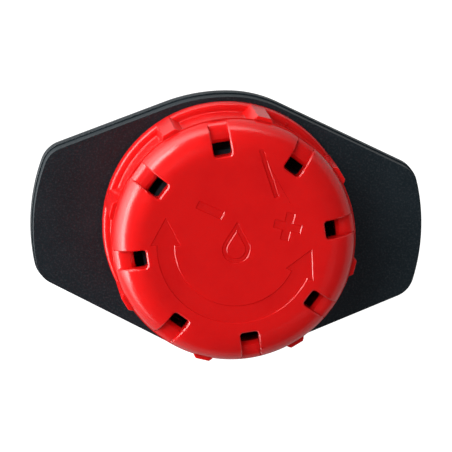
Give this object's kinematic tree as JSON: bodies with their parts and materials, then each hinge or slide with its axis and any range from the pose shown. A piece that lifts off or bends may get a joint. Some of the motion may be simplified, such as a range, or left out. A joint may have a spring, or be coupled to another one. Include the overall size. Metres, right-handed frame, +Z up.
{
  "type": "drip emitter",
  "caption": "Adjustable drip emitter: a domed red screw cap with square outlet windows and grip ribs on a black barbed base with a long hexagonal wing plate.",
  "frame": {"origin": "on the cap's axis, at the underside of the wing plate, which rests on the pipe", "axes": "+Z up along the cap's axis, +X along the wings, +Y across them"},
  "size_m": [0.024, 0.0164, 0.0242],
  "materials": {
    "black_plastic": "satin black moulding with a fine sparked grain and thin bright edges",
    "red_plastic": "glossy signal red moulding with thin mould lines"
  },
  "bodies": {
    "base": {"base_body": "black_plastic"},
    "pin_carrier": {"metering_pin": "red_plastic"},
    "screw_cap": {"cap": "red_plastic"}
  },
  "joints": [
    {"name": "cap_lift", "type": "slide", "parent": "base", "child": "pin_carrier", "axis": [0, 0, 1], "range_m": [0, 0.0024]},
    {"name": "cap_turn", "type": "hinge", "parent": "pin_carrier", "child": "screw_cap", "pos_m": [0, 0, 0.006], "axis": [0, 0, 1], "range_deg": [0, 540]}
  ],
  "couplings": [
    {"joint": "cap_turn", "follows": "cap_lift", "rad_per_m": 3927}
  ]
}
